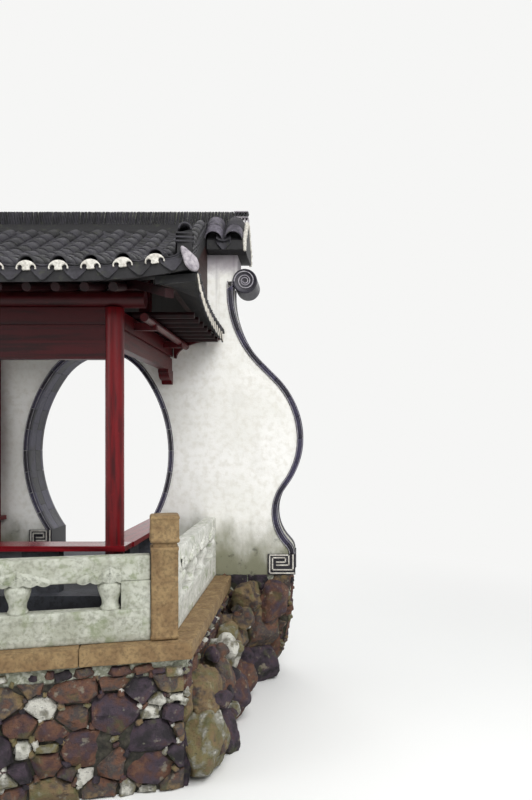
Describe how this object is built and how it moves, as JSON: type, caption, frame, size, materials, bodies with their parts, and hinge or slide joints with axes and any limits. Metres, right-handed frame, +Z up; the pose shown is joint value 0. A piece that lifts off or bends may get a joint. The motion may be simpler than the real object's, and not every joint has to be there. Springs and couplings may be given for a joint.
{
  "type": "moon gate",
  "caption": "Garden moon gate: plastered wall with S-curved ends, oval brick-framed opening, tiled coping and a half pavilion porch on a rubble terrace.",
  "frame": {"origin": "on the underside of the masonry, below the gate's axis, in the plane of the wall's front face", "axes": "+X along the wall, +Y from the porch through the gate, +Z up"},
  "size_m": [4.546, 3.9054, 5.2],
  "materials": {
    "lime_plaster": "matt lime plaster, stained by moss and rain",
    "rubble_stone": "rough field stone in lime mortar",
    "dark_brick": "ground grey brick, matt, with pale joints",
    "clay_tile": "unglazed grey clay tile, weathered",
    "tan_stone": "hewn tan stone, worn",
    "pale_stone": "pale hewn stone with green algae",
    "red_lacquer": "dark red oil lacquer on timber, semi-gloss"
  },
  "bodies": {
    "root": {"wall_footing": "rubble_stone", "gate_wall_left": "lime_plaster", "gate_wall_right": "lime_plaster", "gate_wall_over": "lime_plaster", "gate_frame": "dark_brick", "gate_fret_left": "dark_brick", "gate_fret_right": "dark_brick", "gate_sill": "pale_stone", "end_moulding_left": "dark_brick", "end_moulding_right": "dark_brick", "end_scroll_left": "dark_brick", "end_scroll_right": "dark_brick", "end_fret_left": "dark_brick", "end_fret_right": "dark_brick", "coping_slopes": "clay_tile", "coping_ridge": "clay_tile", "ridge_end_left": "clay_tile", "ridge_end_right": "clay_tile", "terrace_base": "rubble_stone", "corner_rocks_left": "rubble_stone", "corner_rocks_right": "rubble_stone", "kerb_stones": "tan_stone", "porch_floor": "pale_stone", "corner_post_left": "tan_stone", "corner_post_right": "tan_stone", "balustrade_front": "pale_stone", "balustrade_left": "pale_stone", "balustrade_right": "pale_stone", "seat_supports": "pale_stone", "seat_board_front": "red_lacquer", "seat_board_left": "red_lacquer", "seat_board_right": "red_lacquer", "column_front_left": "red_lacquer", "column_front_right": "red_lacquer", "column_wall_left": "red_lacquer", "column_bases": "pale_stone", "beam_front": "red_lacquer", "beam_left": "red_lacquer", "beam_right": "red_lacquer", "corbel_right": "red_lacquer", "purlin_eave": "red_lacquer", "purlin_middle": "red_lacquer", "purlins_side": "red_lacquer", "rafters_front": "red_lacquer", "rafters_side": "red_lacquer", "eave_bracket_left": "red_lacquer", "eave_bracket_right": "red_lacquer", "roof_slope": "clay_tile", "roof_skirt_left": "clay_tile", "roof_skirt_right": "clay_tile", "gable_left": "lime_plaster", "gable_right": "lime_plaster", "hip_ridge_left": "clay_tile", "hip_ridge_right": "clay_tile", "hip_rafters": "red_lacquer"}
  },
  "joints": []
}
